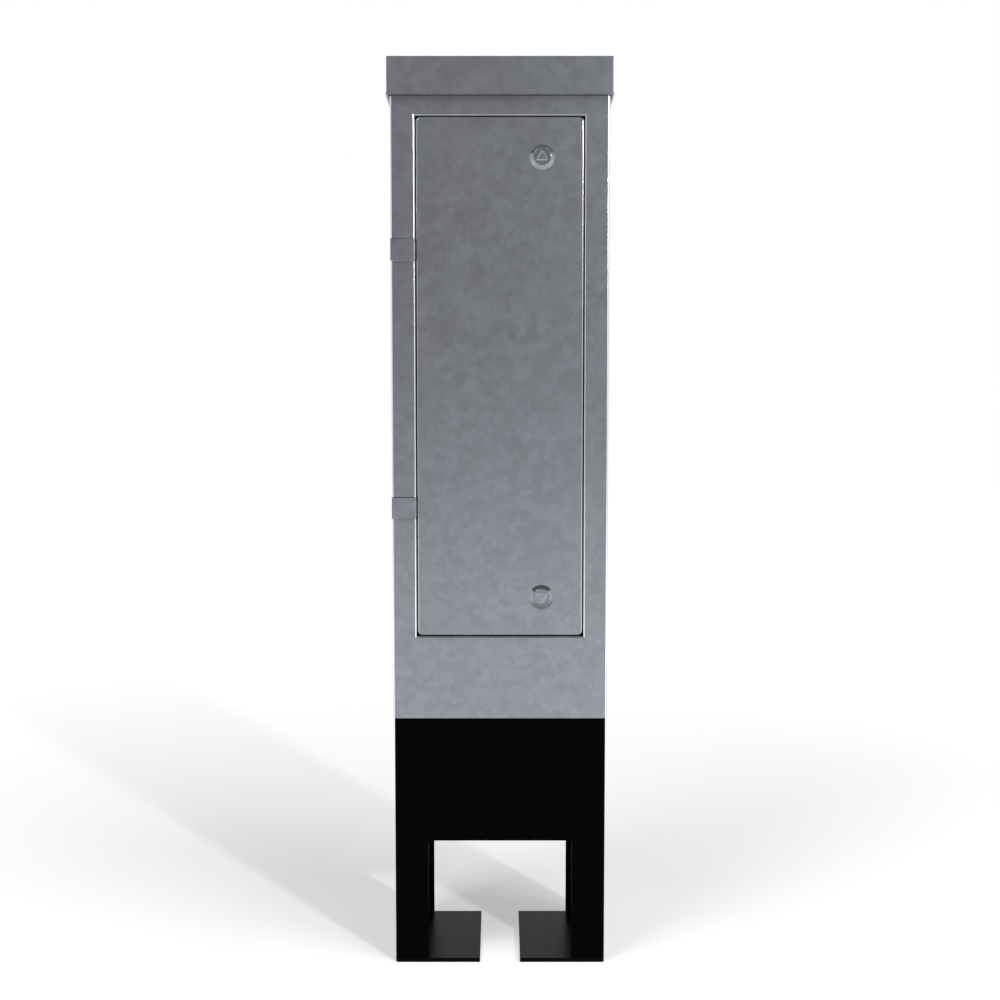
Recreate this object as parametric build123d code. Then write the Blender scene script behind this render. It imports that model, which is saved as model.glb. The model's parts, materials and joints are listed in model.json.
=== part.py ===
"""Feeder pillar: a root-mounted sheet steel cabinet with a lockable door and its switchgear.

Millimetres. X runs to the right, Y into the cabinet and Z up. The origin is on the ground
under the middle of the cabinet, and the door is on the -Y side.
"""

import math
import os

from build123d import *

# Cabinet shell
body_width = 300.0
body_depth = 200.0
sheet = 2.0
bend_radius = 3.0
ground_line = 353.0
rear_flange = 16.0
back_skirt_lap = 16.0
back_rivet_rows = 5
back_rivet_above_root = 30.0
back_rivet_below_roof = 70.0
running_gap = 0.3
seat_gap = 0.05

# Door opening in the front sheet
frame_strip = 34.0
opening_bottom = 469.0
opening_below_cap_top = 79.0
opening_bend = 2.6
return_depth = 24.0
stop_flange = 12.0
stop_thickness = 2.0

# Roof cap, which falls to the rear
cap_top = 1263.0
cap_lip = 51.0
cap_side_overhang = 4.0
cap_end_overhang = 6.0
cap_bend = 1.0
cap_hem_proud = 1.0
cap_hem_height = 1.8
roof_fall = 14.0
roof_seal_thickness = 4.0
roof_seal_width = 13.0
top_frame_width = 34.0
cap_stud_inset_x = 23.0
cap_stud_inset_y = 23.0
cap_stud_length = 18.0
seal_inset = 1.0

# Root section that goes into the ground
root_wall = 3.0
root_corner = 4.0
root_collar = 40.0
root_flange = 22.0
foot_thickness = 6.0
foot_gap = 57.0
leg_strip = 47.0
window_top = 176.8
window_corner = 1.5

# Small fasteners
stud_radius = 3.0
stud_length = 15.0
nut_flats = 10.0
nut_height = 5.0
washer_radius = 6.0
washer_thickness = 1.6
screw_radius = 2.5
screw_head_radius = 4.5
screw_head_height = 3.0
screw_shank_below = 6.0
screw_slot = 1.0
slot_depth_share = 0.4
rivet_radius = 2.0
rivet_head_radius = 3.6
rivet_head_height = 1.2
rivet_dome_round = 0.7
rivet_tail_radius = 2.8

# Door
door_side_gap = 1.5
door_top_gap = 1.3
door_bottom_gap = 1.8
door_recess = 0.5
door_depth = 20.0
door_corner = 6.5
door_bend = 1.8
door_swing = 100.0
stiffener_width = 62.0
stiffener_hat = 34.0
stiffener_depth = 12.0
stiffener_sheet = 1.5
stiffener_end_gap = 66.0

# Hinges: a strap on the door crosses the frame and turns on a pin in the cabinet corner
hinge_end_gap = 165.0
strap_height = 30.0
strap_thickness = 2.2
strap_bend = 1.8
strap_edge = 0.6
strap_leg_height = 24.0
strap_leg_short = 1.0
leg_notch_gap = 1.4
knuckle_radius = 4.0
hinge_axis_in_x = 4.5
hinge_axis_in_y = 6.0
hinge_pin_radius = 2.0
hinge_pin_head_gap = 0.1
hinge_pin_head_height = 2.0
hinge_pin_tail = 2.0
hinge_washer_thickness = 0.8
hinge_washer_inset = 0.2
hinge_lug_height = 8.0
hinge_block_wall = 4.0
notch_gap = 0.6
spacer_thickness = 1.6
spacer_setback = 6.0
spacer_length = 12.0
strap_rivet_spacing = 12.0

# Locks: triangular posts that turn a cam behind the stop flange
lock_from_edge = 57.0
lock_from_end = 53.7
lock_base_radius = 17.2
lock_rim_radius = 12.0
lock_rise = 5.0
lock_rim_round = 0.6
lock_recess_radius = 10.8
lock_recess_chamfer = 0.3
lock_barrel_radius = 11.0
lock_nut_flats = 29.0
lock_nut_height = 5.0
post_circumradius = 9.0
post_corner = 1.0
post_edge = 0.5
post_below_rim = 0.3
post_rise = 1.8
post_disc_radius = 10.3
post_disc_thickness = 1.6
post_disc_gap = 0.1
spindle_end = 1.0
spindle_radius = 5.0
cam_square = 7.0
cam_length = 56.0
cam_width = 18.0
cam_thickness = 3.0
cam_behind_stop = 0.8

# Door seal
seal_width = 9.0
door_seal_inset = 1.0

# Gland plate and cable entries
gland_plate_thickness = 3.0
gland_plate_inset = 8.0
entry_count = 3
entry_edge_gap = 3.0
entry_hole_radius = 16.0
grommet_lip_radius = 20.0
grommet_lip_thickness = 3.0
entry_bore_radius = 11.0

# Backboard
board_thickness = 12.0
board_side_gap = 23.0
board_below_gap = 11.0
board_above_gap = 14.0
board_standoff = 10.0
board_stud_inset = 18.0
board_stud_tail = 2.0
spacer_tube_radius = 7.0

# Service cut-out
cutout_board_margin = 32.0
cutout_bottom = 560.0
cutout_width = 62.0
cutout_height = 150.0
cutout_depth = 58.0
cutout_edge = 4.0
cutout_entry_radius = 11.0
cutout_entry_depth = 22.0
carrier_width = 40.0
carrier_height = 84.0
carrier_depth = 36.0
carrier_below_top = 12.0
carrier_gap = 0.5
grip_projection = 20.0
grip_height = 30.0
grip_waist = 7.0
grip_tip_half = 11.2
grip_round = 2.0
jaw_depth = 13.0
jaw_width = 14.0
jaw_thickness = 1.5
blade_thickness = 2.5
blade_width = 11.0
blade_spread = 54.0
fuse_radius = 9.0
fuse_length = 40.0
fuse_cap_length = 10.0
fuse_cap_proud = 1.0

# Terminal bars
bar_length = 92.0
bar_height = 10.0
bar_thickness = 8.0
bar_post_length = 16.0
bar_post_radius = 6.0
bar_hole_radius = 2.6
bar_hole_pitch = 12.0
bar_hole_count = 6
bar_edge = 0.8
bar_slot = 0.8
bar_board_margin = 24.0
earth_bar_z = 600.0
neutral_bar_z = 690.0

# Mounting rail and modular devices
rail_z = 900.0
rail_end_gap = 18.0
rail_height = 35.0
rail_hat = 25.0
rail_depth = 7.5
rail_sheet = 1.0
module_width = 17.5
module_height = 84.0
module_nose_height = 45.0
module_shoulder_depth = 44.0
module_nose_depth = 16.0
module_hook_depth = 3.2
module_gap = 0.3
module_edge = 1.5
rail_throat_gap = 1.0
terminal_screw_radius = 3.0
terminal_screw_depth = 3.5
terminal_mouth = 8.0
terminal_mouth_depth = 3.5
terminal_setback = 12.0
terminal_from_nose = 10.0
lever_radius = 6.5
lever_reach = 15.0
lever_setback = 1.0
lever_thickness = 4.0
lever_tilt = 35.0
lever_width_single = 7.0
lever_width_double = 14.0
lever_pocket_half_height = 9.0
trunnion_radius = 1.5
trunnion_length = 1.6
lever_pocket_floor_gap = 1.0
breaker_count = 2
button_size = 6.0
button_proud = 1.6
button_depth = 6.0
button_corner = 0.8
button_travel_room = 2.0
end_stop_width = 8.0
end_stop_height = 49.0
end_stop_depth = 12.0
earth_stud_above_root = 45.0

# Places worked out from the sizes above
half_width = body_width / 2
half_depth = body_depth / 2
front = -half_depth
inner_x = half_width - sheet
inner_y = half_depth - sheet
opening_half = half_width - frame_strip
opening_top = cap_top - opening_below_cap_top
cap_half_x = half_width + cap_side_overhang
cap_half_y = half_depth + cap_end_overhang
well_below_roof = cap_top - roof_fall - cap_lip
root_top = ground_line + root_collar
root_mouth_half_y = inner_y - root_wall - root_flange
outer_entry_y = root_mouth_half_y - entry_edge_gap - grommet_lip_radius
stop_front = front + return_depth
stop_back = stop_front + stop_thickness
door_half = opening_half - door_side_gap
door_bottom = opening_bottom + door_bottom_gap
door_top = opening_top - door_top_gap
door_height = door_top - door_bottom
door_front = front + door_recess
door_inside = door_front + sheet
door_back = door_front + door_depth
hinge_x = -half_width + hinge_axis_in_x
hinge_y = front + hinge_axis_in_y
hinge_in_from_end = hinge_end_gap + strap_height / 2
hinge_levels = (opening_top - hinge_in_from_end, opening_bottom + hinge_in_from_end)
door_mid = (door_top + door_bottom) / 2
lock_x = door_half - lock_from_edge
lock_levels = (door_top - lock_from_end, door_bottom + lock_from_end)
strap_back = front - running_gap
strap_front = strap_back - strap_thickness
strap_leg_inner_x = -door_half - spacer_thickness
strap_leg_x = strap_leg_inner_x - strap_thickness
strap_leg_end = door_back - strap_leg_short
hinge_pin_head_radius = hinge_axis_in_x - sheet - hinge_pin_head_gap
notch_half = strap_height / 2 + running_gap
swing = math.radians(door_swing)
web_sweep = knuckle_radius * math.sin(swing) - (hinge_y - strap_back) * math.cos(swing)
notch_x = hinge_x + knuckle_radius + notch_gap
notch_y = hinge_y + max(knuckle_radius, web_sweep) + notch_gap
lock_rim = door_front - lock_rise
post_front = lock_rim + post_below_rim
disc_front = post_front + post_rise
disc_back = disc_front + post_disc_thickness
lock_recess_floor = disc_back + post_disc_gap
cam_front = stop_back + cam_behind_stop
cam_back = cam_front + cam_thickness
board_half = inner_x - board_side_gap
board_bottom = opening_bottom + board_below_gap
board_top = opening_top - board_above_gap
board_back = inner_y - sheet - board_standoff
board_front = board_back - board_thickness
rail_flange_back = board_front - rail_depth + rail_sheet
rail_flange_front = board_front - rail_depth
cutout_x = -board_half + cutout_board_margin + cutout_width / 2
bar_x = board_half - bar_board_margin - bar_length / 2
rail_half = board_half - rail_end_gap
module_shoulder_front = rail_flange_front - module_shoulder_depth
module_nose_front = module_shoulder_front - module_nose_depth
lever_axis_y = module_nose_front + lever_radius + lever_setback
device_row_start = -module_width * (4 + breaker_count) / 2


def block(x0, x1, y0, y1, z0, z1):
    """Box between two corners."""
    middle = ((x0 + x1) / 2, (y0 + y1) / 2, (z0 + z1) / 2)
    return Pos(*middle) * Box(abs(x1 - x0), abs(y1 - y0), abs(z1 - z0))


def rod_z(radius, x, y, z0, z1):
    """Upright round bar."""
    return Pos(x, y, (z0 + z1) / 2) * Cylinder(radius, abs(z1 - z0))


def rod_y(radius, x, z, y0, y1):
    """Round bar along Y."""
    return Pos(x, (y0 + y1) / 2, z) * Rot(90, 0, 0) * Cylinder(radius, abs(y1 - y0))


def rod_x(radius, y, z, x0, x1):
    """Round bar along X."""
    return Pos((x0 + x1) / 2, y, z) * Rot(0, 90, 0) * Cylinder(radius, abs(x1 - x0))


def hexagon(flats, height):
    """Hexagonal prism along Z, centred, by its width across flats."""
    outline = RegularPolygon(flats / math.sqrt(3), 6)
    return Pos(0, 0, -height / 2) * extrude(outline, height)


def nut(flats, height, bore):
    """Hexagonal nut along Z, centred."""
    return hexagon(flats, height) - Cylinder(bore + seat_gap, 2 * height)


def prism_yz(points, x0, x1):
    """Solid with an outline in the YZ plane, from x0 to x1."""
    outline = make_face(Polyline(*[(x0, y, z) for y, z in points], close=True))
    return extrude(outline, x1 - x0, dir=(1, 0, 0))


def prism_xy(points, z0, z1):
    """Solid with an outline in plan, from z0 to z1."""
    outline = make_face(Polyline(*[(x, y, z0) for x, y in points], close=True))
    return extrude(outline, z1 - z0, dir=(0, 0, 1))


def tube_plan(width, depth, radius, z0, z1):
    """Upright block with rounded vertical edges."""
    outline = RectangleRounded(width, depth, radius)
    return Pos(0, 0, z0) * extrude(outline, z1 - z0)


def panel_front(width, height, radius, x, z, y0, y1):
    """Block along Y with rounded corners in the front view."""
    outline = Plane.XZ.offset(-y0) * Pos(x, z) * RectangleRounded(width, height, radius)
    return extrude(outline, y1 - y0, dir=(0, 1, 0))


def ring_front(half_x, z0, z1, border, y0, y1):
    """Flat rectangular ring in the front view; border is its width."""
    outer = block(-half_x, half_x, y0, y1, z0, z1)
    hole = block(-half_x + border, half_x - border, y0 - 1, y1 + 1, z0 + border, z1 - border)
    return outer - hole


def roof_z(y, below=0.0):
    """Height of the roof's upper face at y, less a depth below it."""
    return cap_top - roof_fall * (y + cap_half_y) / (2 * cap_half_y) - below


def roof_slab(half_x, half_y, top_below, bottom_below):
    """Slab parallel to the roof between two depths below its upper face."""
    points = [
        (-half_y, roof_z(-half_y, top_below)),
        (half_y, roof_z(half_y, top_below)),
        (half_y, roof_z(half_y, bottom_below)),
        (-half_y, roof_z(-half_y, bottom_below)),
    ]
    return prism_yz(points, -half_x, half_x)


def under_roof(half_x, half_y, top_below):
    """Everything from the ground up to a depth below the roof's upper face."""
    points = [
        (-half_y, 0),
        (half_y, 0),
        (half_y, roof_z(half_y, top_below)),
        (-half_y, roof_z(-half_y, top_below)),
    ]
    return prism_yz(points, -half_x, half_x)


def mirrored(solid):
    """The solid and its mirror image across the YZ plane."""
    return [solid, mirror(solid, Plane.YZ)]


# Root section


def root_frame():
    """Folded square tube with a cable window front and back and a flange for the gland plate."""
    outer = tube_plan(2 * inner_x, 2 * inner_y, root_corner, foot_thickness, root_top)
    hollow_x = 2 * (inner_x - root_wall)
    hollow_y = 2 * (inner_y - root_wall)
    below_flange = root_top - root_wall
    hollow = tube_plan(hollow_x, hollow_y, root_corner - root_wall, 0, below_flange)
    mouth = block(
        -inner_x + root_wall + root_flange,
        inner_x - root_wall - root_flange,
        -root_mouth_half_y,
        root_mouth_half_y,
        below_flange - 1,
        root_top + 1,
    )
    window = panel_front(
        2 * (inner_x - leg_strip),
        2 * window_top,
        window_corner,
        0,
        0,
        -half_depth,
        half_depth,
    )
    frame = outer - hollow - mouth - window
    for y, z in root_stud_places():
        frame -= rod_x(stud_radius + running_gap, y, z, -half_width, half_width)
    for x, y in gland_screw_places():
        frame -= rod_z(screw_radius + seat_gap, x, y, below_flange - 1, root_top + 1)
    return frame


def foot_plate():
    """Thick plate welded under the right-hand leg."""
    plate = block(foot_gap / 2, inner_x, -inner_y, inner_y, 0, foot_thickness)
    corners = plate.edges().filter_by(Axis.Z).group_by(Axis.X)[-1]
    return fillet(corners, root_corner)


def root_stud_places():
    level = ground_line + root_collar / 2
    return [(-half_depth / 2, level), (half_depth / 2, level)]


def root_studs():
    """Studs welded inside the cabinet's side walls, through the root's collar."""
    studs = []
    for y, z in root_stud_places():
        studs += mirrored(rod_x(stud_radius, y, z, inner_x - stud_length, inner_x))
    return studs


def root_nuts():
    nuts = []
    face = inner_x - root_wall
    for y, z in root_stud_places():
        place = Pos(face - nut_height / 2, y, z) * Rot(0, 90, 0)
        nuts += mirrored(place * nut(nut_flats, nut_height, stud_radius))
    return nuts


def gland_screw_places():
    x = inner_x - root_wall - root_flange / 2
    y = inner_y - root_wall - root_flange / 2
    return [(-x, -y), (x, -y), (-x, 0), (x, 0), (-x, y), (x, y)]


def entry_places():
    """Y of each cable entry, in a row above the gap between the feet."""
    pitch = 2 * outer_entry_y / (entry_count - 1)
    return [pitch * i - outer_entry_y for i in range(entry_count)]


def gland_plate():
    """Removable plate on the root's flange, with the cable entry holes."""
    half_x = inner_x - root_wall - gland_plate_inset
    half_y = inner_y - root_wall - gland_plate_inset
    plate = block(-half_x, half_x, -half_y, half_y, root_top, root_top + gland_plate_thickness)
    plate = fillet(plate.edges().filter_by(Axis.Z), root_corner)
    above = root_top + gland_plate_thickness + 1
    for y in entry_places():
        plate -= rod_z(entry_hole_radius, 0, y, root_top - 1, above)
    for x, y in gland_screw_places():
        plate -= rod_z(screw_radius + seat_gap, x, y, root_top - 1, above)
    return plate


def gland_screws():
    top = root_top + gland_plate_thickness
    screws = []
    for x, y in gland_screw_places():
        head_top = top + screw_head_height
        head = rod_z(screw_head_radius, x, y, top, head_top)
        slot = block(
            x - screw_slot / 2,
            x + screw_slot / 2,
            y - screw_head_radius,
            y + screw_head_radius,
            head_top - slot_depth_share * screw_head_height,
            head_top + 1,
        )
        shank = rod_z(screw_radius, x, y, root_top - root_wall - screw_shank_below, top)
        screws.append(head - slot + shank)
    return screws


def cable_grommets():
    """Rubber grommets that line the cable entries."""
    plate_top = root_top + gland_plate_thickness
    lower = root_top - grommet_lip_thickness
    upper = plate_top + grommet_lip_thickness
    rings = []
    for y in entry_places():
        ring = rod_z(entry_hole_radius, 0, y, root_top, plate_top)
        ring += rod_z(grommet_lip_radius, 0, y, lower, root_top)
        ring += rod_z(grommet_lip_radius, 0, y, plate_top, upper)
        ring -= rod_z(entry_bore_radius, 0, y, lower - 1, upper + 1)
        rings.append(ring)
    return rings


# Cabinet shell


def hinge_notches():
    """Cuts behind each strap: one for the turning knuckle and one for the strap's leg."""
    cuts = []
    for level in hinge_levels:
        low = level - notch_half
        high = level + notch_half
        cuts.append(block(-half_width - 1, notch_x, front - 1, notch_y, low, high))
        leg_half = strap_leg_height / 2 + notch_gap
        cuts.append(
            block(
                strap_leg_x - leg_notch_gap,
                -opening_half + 1,
                front - 1,
                strap_leg_end + notch_gap,
                level - leg_half,
                level + leg_half,
            )
        )
    return cuts


def body_wrap():
    """Front and both sides folded from one sheet, with the door opening and its returns."""
    outer = tube_plan(body_width, body_depth, bend_radius, ground_line, cap_top)
    inner = tube_plan(2 * inner_x, 2 * inner_y, bend_radius - sheet, ground_line - 1, cap_top + 1)
    rear = inner_x - rear_flange
    wrap = outer - inner
    wrap -= block(-rear, rear, 0, half_depth + 1, ground_line - 1, cap_top + 1)
    wrap &= under_roof(half_width, half_depth, sheet + roof_seal_thickness)
    wrap += block(
        -opening_half - sheet,
        opening_half + sheet,
        front,
        stop_front,
        opening_bottom - sheet,
        opening_top + sheet,
    )
    wrap -= block(
        -opening_half,
        opening_half,
        front - 1,
        stop_front + 1,
        opening_bottom,
        opening_top,
    )
    rim = [
        edge
        for edge in wrap.edges().filter_by_position(Axis.Y, front - 0.01, front + 0.01)
        if abs(edge.center().X) <= opening_half + 0.01
        and opening_bottom - 0.01 <= edge.center().Z <= opening_top + 0.01
    ]
    wrap = fillet(rim, opening_bend)
    for cut in hinge_notches():
        wrap -= cut
    for x, z in back_rivet_places():
        wrap -= rod_y(rivet_radius + seat_gap, x, z, inner_y - 1, half_depth + 1)
    return wrap


def back_rivet_places():
    x = inner_x - rear_flange / 2
    low = root_top + back_rivet_above_root
    high = roof_z(half_depth) - back_rivet_below_roof
    step = (high - low) / (back_rivet_rows - 1)
    return [(side * x, low + step * i) for i in range(back_rivet_rows) for side in (-1, 1)]


def back_panel():
    """Rear sheet, riveted to the inside of the side flanges."""
    top_below = 2 * sheet + roof_seal_thickness
    edge = inner_x - bend_radius + sheet
    panel = block(-edge, edge, inner_y - sheet, inner_y, root_top, cap_top)
    panel &= under_roof(half_width, half_depth, top_below)
    for x, z in back_rivet_places():
        panel -= rod_y(rivet_radius + seat_gap, x, z, inner_y - 3 * sheet, half_depth)
    for x, z in board_stud_places():
        panel -= rod_y(stud_radius + seat_gap, x, z, inner_y - 3 * sheet, inner_y - sheet / 2)
    return panel


def back_skirt():
    """Strip welded between the flanges at the foot of the rear, over the root's collar."""
    edge = inner_x - rear_flange - seat_gap
    return block(-edge, edge, inner_y, half_depth, ground_line, root_top + back_skirt_lap)


def back_rivets():
    rivets = []
    for x, z in back_rivet_places():
        tail_end = inner_y - sheet - rivet_head_height
        shank = rod_y(rivet_radius, x, z, tail_end, half_depth)
        dome = rod_y(rivet_head_radius, x, z, half_depth, half_depth + rivet_head_height)
        dome = fillet(dome.edges().group_by(Axis.Y)[-1], rivet_dome_round)
        tail = rod_y(rivet_tail_radius, x, z, tail_end, inner_y - sheet)
        rivets.append(shank + dome + tail)
    return rivets


def door_stop():
    """Flange behind the opening's returns that the door closes against."""
    return ring_front(
        opening_half + sheet,
        opening_bottom - sheet,
        opening_top + sheet,
        stop_flange + sheet,
        stop_front,
        stop_back,
    )


def door_seal():
    """Foam strip on the stop flange, just clear of the closed door."""
    return ring_front(
        opening_half - door_seal_inset,
        opening_bottom + door_seal_inset,
        opening_top - door_seal_inset,
        seal_width,
        door_back + running_gap,
        stop_front,
    )


def top_frame():
    """Sloping ring welded in the top of the cabinet, which carries the roof."""
    depth = sheet + roof_seal_thickness
    frame = roof_slab(inner_x, inner_y, depth, depth + sheet)
    corners = frame.edges().filter_by(Axis.Z)
    frame = fillet(corners, bend_radius - sheet)
    hole = block(
        -inner_x + top_frame_width,
        inner_x - top_frame_width,
        -inner_y + top_frame_width,
        inner_y - top_frame_width,
        well_below_roof,
        cap_top,
    )
    frame -= hole
    for x, y in cap_stud_places():
        frame -= rod_z(stud_radius + running_gap, x, y, well_below_roof, cap_top)
    return frame


def cap_stud_places():
    x = inner_x - cap_stud_inset_x
    y = inner_y - cap_stud_inset_y
    return [(-x, -y), (x, -y), (-x, y), (x, y)]


def roof_cap():
    """Folded lid with lips all round and a small hem along the lip's lower edge."""
    cap = roof_slab(cap_half_x, cap_half_y, 0, cap_lip)
    outer_edges = cap.edges().filter_by(Axis.Z) + cap.faces().sort_by(Axis.Z)[-1].edges()
    cap = fillet(outer_edges, cap_bend)
    hem = roof_slab(
        cap_half_x + cap_hem_proud,
        cap_half_y + cap_hem_proud,
        cap_lip - cap_hem_height,
        cap_lip,
    )
    hem = fillet(hem.edges().filter_by(Axis.Z), cap_bend)
    return cap + hem - roof_slab(cap_half_x - sheet, cap_half_y - sheet, sheet, cap_lip + 1)


def roof_seal():
    """Sponge gasket between the top frame and the underside of the roof."""
    half_x = inner_x - seal_inset
    half_y = inner_y - seal_inset
    seal = roof_slab(half_x, half_y, sheet, sheet + roof_seal_thickness)
    hole_x = half_x - roof_seal_width
    hole_y = half_y - roof_seal_width
    return seal - block(-hole_x, hole_x, -hole_y, hole_y, well_below_roof, cap_top)


def cap_studs():
    """Studs welded under the roof, through the top frame."""
    under_sheet = under_roof(half_width, half_depth, sheet)
    studs = []
    for x, y in cap_stud_places():
        low = roof_z(y, sheet) - cap_stud_length
        studs.append(rod_z(stud_radius, x, y, low, cap_top) & under_sheet)
    return studs


def cap_nuts():
    nuts = []
    for x, y in cap_stud_places():
        face = roof_z(y + nut_flats / 2, 2 * sheet + roof_seal_thickness) - seat_gap
        nuts.append(Pos(x, y, face - nut_height / 2) * nut(nut_flats, nut_height, stud_radius))
    return nuts


def hinge_block(level):
    """Steel block in the cabinet corner that holds the pin above and below the notch."""
    bottom = level - notch_half - hinge_lug_height
    top = level + notch_half + hinge_lug_height
    right = notch_x + hinge_block_wall
    rear = notch_y + hinge_block_wall
    body = block(-inner_x, right, -inner_y, rear, bottom, top)
    uprights = body.edges().filter_by(Axis.Z)
    corner = uprights.sort_by(lambda edge: edge.center().X + edge.center().Y)[0]
    body = chamfer(corner, bend_radius - sheet)
    low = level - notch_half
    high = level + notch_half
    body -= block(-inner_x - 1, notch_x, -inner_y - 1, notch_y, low, high)
    return body - rod_z(hinge_pin_radius + seat_gap, hinge_x, hinge_y, bottom - 1, top + 1)


def hinge_pin(level):
    """Headed pin through the block's lugs and the strap's knuckle."""
    bottom = level - notch_half - hinge_lug_height
    top = level + notch_half + hinge_lug_height
    pin = rod_z(hinge_pin_radius, hinge_x, hinge_y, bottom - hinge_pin_tail, top)
    head_top = top + hinge_pin_head_height
    head = rod_z(hinge_pin_head_radius, hinge_x, hinge_y, top, head_top)
    return pin + head


def hinge_washers():
    rings = []
    for level in hinge_levels:
        for side in (-1, 1):
            face = level + side * notch_half
            inner_face = face - side * hinge_washer_thickness
            outside = knuckle_radius - hinge_washer_inset
            ring = rod_z(outside, hinge_x, hinge_y, face, inner_face)
            hole = rod_z(hinge_pin_radius + seat_gap, hinge_x, hinge_y, face - 2, face + 2)
            rings.append(ring - hole)
    return rings


# Door


def strap_rivet_places():
    half = strap_rivet_spacing / 2
    return [level + side * half for level in hinge_levels for side in (-1, 1)]


def strap_rivet_y():
    return strap_front + spacer_setback + strap_thickness + spacer_length / 2


def door_panel():
    """Folded door pan with a return on every side."""
    pan = panel_front(2 * door_half, door_height, door_corner, 0, door_mid, door_front, door_back)
    pan = fillet(pan.faces().sort_by(Axis.Y)[0].edges(), door_bend)
    pan -= panel_front(
        2 * (door_half - sheet),
        door_height - 2 * sheet,
        door_corner - sheet,
        0,
        door_mid,
        door_inside,
        door_back + 1,
    )
    for level in lock_levels:
        pan -= rod_y(lock_barrel_radius + seat_gap, lock_x, level, door_front - 1, door_inside + 1)
    for z in strap_rivet_places():
        pan -= rod_x(
            rivet_radius + seat_gap, strap_rivet_y(), z, -door_half - 1, -door_half + sheet + 1
        )
    return pan


def door_stiffener():
    """Top-hat channel welded up the middle of the door."""
    bottom = door_bottom + stiffener_end_gap
    top = door_top - stiffener_end_gap
    half = stiffener_width / 2
    hat = stiffener_hat / 2
    back = door_inside + stiffener_depth
    channel = block(-hat, hat, door_inside, back, bottom, top)
    channel = fillet(
        channel.edges().filter_by(Axis.Z).group_by(Axis.Y)[-1], bend_radius
    )
    channel += block(-half, half, door_inside, door_inside + stiffener_sheet, bottom, top)
    inside = block(
        -hat + stiffener_sheet,
        hat - stiffener_sheet,
        door_inside - 1,
        back - stiffener_sheet,
        bottom - 1,
        top + 1,
    )
    inside = fillet(
        inside.edges().filter_by(Axis.Z).group_by(Axis.Y)[-1], bend_radius - stiffener_sheet
    )
    return channel - inside


def hinge_strap(level):
    """Strap from the knuckle across the frame and round into the gap beside the door."""
    bottom = level - strap_height / 2
    top = level + strap_height / 2
    face = block(-half_width, strap_leg_inner_x, strap_front, strap_back, bottom, top)
    uprights = face.edges().filter_by(Axis.Z)
    bend = uprights.sort_by(lambda edge: edge.center().Y - edge.center().X)[0]
    face = fillet(bend, strap_bend)
    front_edges = face.faces().filter_by(Axis.Y).sort_by(Axis.Y)[0].edges()
    face = chamfer(front_edges.filter_by(Axis.X), strap_edge)
    leg_low = level - strap_leg_height / 2
    leg_high = level + strap_leg_height / 2
    leg_front = strap_back - (strap_thickness - strap_bend) / 2
    strap = face + block(
        strap_leg_x, strap_leg_inner_x, leg_front, strap_leg_end, leg_low, leg_high
    )
    knuckle_half = notch_half - hinge_washer_thickness - running_gap
    eye = rod_z(knuckle_radius, hinge_x, hinge_y, level - knuckle_half, level + knuckle_half)
    eye += block(
        hinge_x - knuckle_radius,
        hinge_x + knuckle_radius,
        strap_back,
        hinge_y,
        level - knuckle_half,
        level + knuckle_half,
    )
    strap += eye
    strap -= rod_z(hinge_pin_radius + seat_gap, hinge_x, hinge_y, bottom - 1, top + 1)
    for z in strap_rivet_places():
        strap -= rod_x(
            rivet_radius + seat_gap, strap_rivet_y(), z, strap_leg_x - 1, strap_leg_inner_x + 1
        )
    return strap


def hinge_spacers():
    """Packing plates between the straps' legs and the door's return."""
    middle = strap_rivet_y()
    plates = []
    for level in hinge_levels:
        plate = block(
            strap_leg_inner_x,
            -door_half,
            middle - spacer_length / 2,
            middle + spacer_length / 2,
            level - strap_leg_height / 2,
            level + strap_leg_height / 2,
        )
        for side in (-1, 1):
            z = level + side * strap_rivet_spacing / 2
            plate -= rod_x(rivet_radius + seat_gap, middle, z, strap_leg_x, -door_half + 1)
        plates.append(plate)
    return plates


def strap_rivets():
    rivets = []
    head = -door_half + sheet
    for z in strap_rivet_places():
        shank = rod_x(rivet_radius, strap_rivet_y(), z, strap_leg_x, head + rivet_head_height)
        rivets.append(
            shank + rod_x(rivet_head_radius, strap_rivet_y(), z, head, head + rivet_head_height)
        )
    return rivets


def door_earth_stud():
    """Earthing stud with its washer and nut, inside the door by the lower hinge."""
    x = -door_half / 2
    z = door_bottom + stiffener_end_gap / 2
    stud = rod_y(stud_radius, x, z, door_inside, door_inside + stud_length)
    place = Pos(x, door_inside + nut_height / 2 + washer_thickness, z) * Rot(90, 0, 0)
    washer = rod_y(washer_radius, x, z, door_inside, door_inside + washer_thickness)
    washer -= rod_y(stud_radius + seat_gap, x, z, door_inside - 1, door_inside + 5)
    return [stud, washer, place * nut(nut_flats, nut_height, stud_radius)]


def lock_body(level):
    """Conical collar and barrel that hold the turning post."""
    place = Pos(lock_x, (door_front + lock_rim) / 2, level) * Rot(90, 0, 0)
    collar = place * Cone(lock_base_radius, lock_rim_radius, lock_rise)
    collar = fillet(collar.edges().sort_by(Axis.Y)[0], lock_rim_round)
    barrel = rod_y(lock_barrel_radius, lock_x, level, door_front - 1, cam_front - running_gap)
    body = collar + barrel
    body -= rod_y(lock_recess_radius, lock_x, level, lock_rim - 1, lock_recess_floor)
    mouth = Pos(lock_x, lock_rim + lock_recess_chamfer / 2, level) * Rot(90, 0, 0)
    wide = lock_recess_radius + lock_recess_chamfer
    body -= mouth * Cone(lock_recess_radius, wide, lock_recess_chamfer)
    return body - rod_y(spindle_radius + seat_gap, lock_x, level, lock_rim - 1, cam_front)


def lock_nut(level):
    place = Pos(lock_x, door_inside + lock_nut_height / 2, level) * Rot(90, 0, 0)
    return place * nut(lock_nut_flats, lock_nut_height, lock_barrel_radius)


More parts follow.
